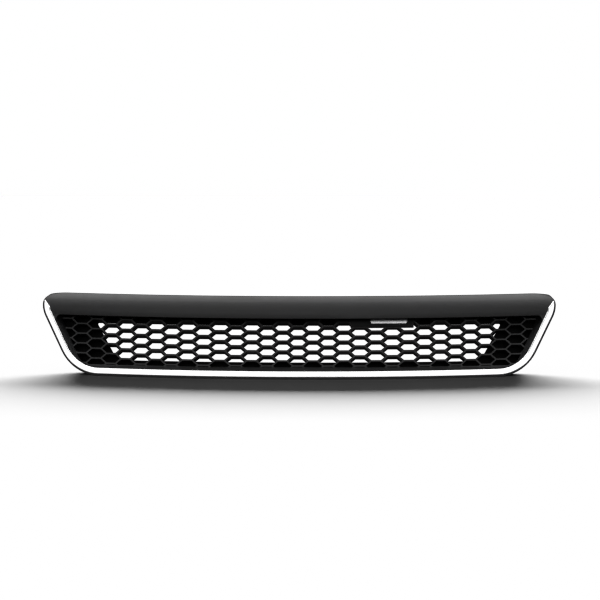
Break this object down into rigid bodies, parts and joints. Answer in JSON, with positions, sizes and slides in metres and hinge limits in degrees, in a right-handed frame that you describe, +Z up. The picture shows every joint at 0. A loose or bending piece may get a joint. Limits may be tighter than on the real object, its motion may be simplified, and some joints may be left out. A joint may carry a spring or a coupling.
{
  "type": "front grille",
  "caption": "Curved front grille: black surround with a convex brow, bright U-shaped moulding, leaning honeycomb mesh, windowed backing panel, blank badge bar, rear brackets, tongues and pins",
  "frame": {"origin": "middle of the width and the depth, on the plane that the lower edge stands on", "axes": "+X across the car to the right as seen from the front, front faces -Y, +Z up"},
  "size_m": [0.892, 0.1624, 0.138],
  "materials": {
    "badge_bright": "blank, satin bright",
    "bright_trim": "bright plated",
    "carrier_plastic": "matt black",
    "coated_steel": "black e-coat",
    "foam": "open-cell foam",
    "frame_plastic": "satin, fine grain",
    "mesh_plastic": "moulded, half matt",
    "panel_plastic": "matt black",
    "rubber": "matt",
    "zinc_steel": "zinc plated"
  },
  "bodies": {
    "root": {"backing_panel": "panel_plastic", "badge_carrier": "carrier_plastic", "badge_plate": "badge_bright", "badge_push_nuts": "zinc_steel", "base_frame": "frame_plastic", "bracket_screws": "zinc_steel", "bracket_speed_nuts": "zinc_steel", "bright_moulding": "bright_trim", "foam_pad_left": "foam", "foam_pad_right": "foam", "locating_pin_left": "zinc_steel", "locating_pin_right": "zinc_steel", "lower_tongue_inner_left": "coated_steel", "lower_tongue_inner_right": "coated_steel", "lower_tongue_outer_left": "coated_steel", "lower_tongue_outer_right": "coated_steel", "mesh_insert": "mesh_plastic", "mesh_screws_lower": "zinc_steel", "mesh_screws_upper": "zinc_steel", "moulding_push_nuts": "zinc_steel", "pin_grommet_left": "rubber", "pin_grommet_right": "rubber", "pin_push_nuts": "zinc_steel", "tongue_rivets": "zinc_steel", "tongue_spring_clips": "zinc_steel", "upper_bracket_left": "coated_steel", "upper_bracket_right": "coated_steel", "upper_seal": "rubber"}
  },
  "joints": []
}
